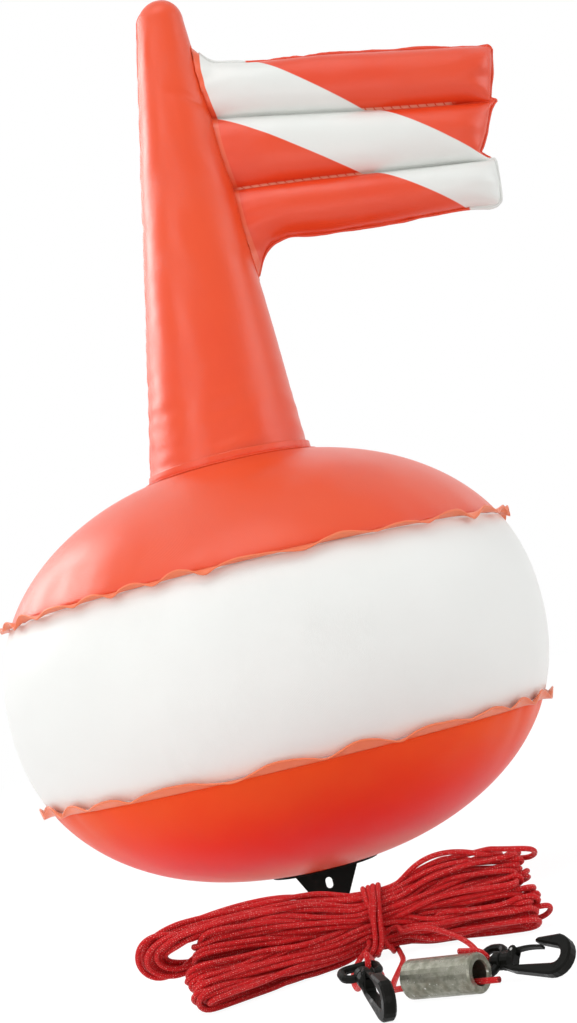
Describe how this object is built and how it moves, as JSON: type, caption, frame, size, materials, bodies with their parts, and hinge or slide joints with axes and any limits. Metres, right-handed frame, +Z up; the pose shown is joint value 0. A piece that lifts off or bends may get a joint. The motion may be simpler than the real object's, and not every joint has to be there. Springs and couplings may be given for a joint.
{
  "type": "dive buoy",
  "caption": "Inflatable surface marker for divers: round welded float with a mast, a flag and a keel tab, and a hank of cord with a weight and snap hooks.",
  "frame": {"origin": "centre of the keel tab's flat foot, on the surface that the part rests on", "axes": "+Z up along the float's axis, +X the way the flag flies, -Y the front, where the line set lies"},
  "size_m": [0.4303, 0.6214, 0.641],
  "materials": {
    "orange_pvc": "satin welded film",
    "white_pvc": "satin welded film",
    "black_pvc": "matt sheet",
    "valve_pvc": "soft moulding",
    "black_plastic": "moulded",
    "pin_steel": "bright drawn",
    "galvanised_steel": "galvanised",
    "red_rope": "braided cord"
  },
  "bodies": {
    "float": {"upper_dome": "orange_pvc", "lower_dome": "orange_pvc", "upper_seam_flange": "orange_pvc", "lower_seam_flange": "orange_pvc", "mast": "orange_pvc", "mast_weld_strip": "orange_pvc", "flag_front_sheet": "orange_pvc", "flag_back_sheet": "orange_pvc", "white_band": "white_pvc", "keel_patch": "black_pvc", "keel_tab": "black_pvc", "valve_body": "valve_pvc", "valve_tether": "valve_pvc", "left_hook_eye": "black_plastic", "right_hook_eye": "black_plastic", "line_hank": "red_rope", "hank_tie": "red_rope", "left_hook_lead": "red_rope", "right_hook_lead": "red_rope", "weight_lead": "red_rope"},
    "left_hook": {"left_hook_body": "black_plastic", "left_hook_gate_pin": "pin_steel"},
    "left_gate": {"left_hook_gate": "black_plastic"},
    "right_hook": {"right_hook_body": "black_plastic", "right_hook_gate_pin": "pin_steel"},
    "right_gate": {"right_hook_gate": "black_plastic"},
    "weight": {"line_weight": "galvanised_steel"},
    "plug": {"valve_plug": "valve_pvc"},
    "flap": {"valve_flap": "valve_pvc"}
  },
  "joints": [
    {"name": "left_hook_swivel", "type": "hinge", "parent": "float", "child": "left_hook", "pos_m": [0.0059, -0.3982, 0.01734], "axis": [0.1999, -0.9403, -0.2756], "continuous": true},
    {"name": "left_gate_hinge", "type": "hinge", "parent": "left_hook", "child": "left_gate", "pos_m": [0.00775, -0.4046, 0.0202], "axis": [0.9668, 0.235, -0.1005], "range_deg": [0, 25], "stiffness_Nm_per_rad": 0.01, "springref_deg": -5.73},
    {"name": "right_hook_swivel", "type": "hinge", "parent": "float", "child": "right_hook", "pos_m": [0.0715, -0.396, 0.00937], "axis": [0.7427, -0.6687, -0.0349], "continuous": true},
    {"name": "right_gate_hinge", "type": "hinge", "parent": "right_hook", "child": "right_gate", "pos_m": [0.07765, -0.39772, 0.0128], "axis": [0.5113, 0.6, -0.6153], "range_deg": [0, 25], "stiffness_Nm_per_rad": 0.01, "springref_deg": -5.73},
    {"name": "weight_slide", "type": "slide", "parent": "float", "child": "weight", "axis": [0.7431, -0.6691, 0], "range_m": [-0.004, 0.008]},
    {"name": "valve_plug_pull", "type": "slide", "parent": "float", "child": "plug", "axis": [0, 0.5632, 0.8263], "range_m": [0, 0.01]},
    {"name": "valve_flap_hinge", "type": "hinge", "parent": "float", "child": "flap", "pos_m": [0, 0.12342, 0.2848], "axis": [-1, 0, 0], "range_deg": [0, 50], "stiffness_Nm_per_rad": 0.0004, "springref_deg": -8.59}
  ]
}
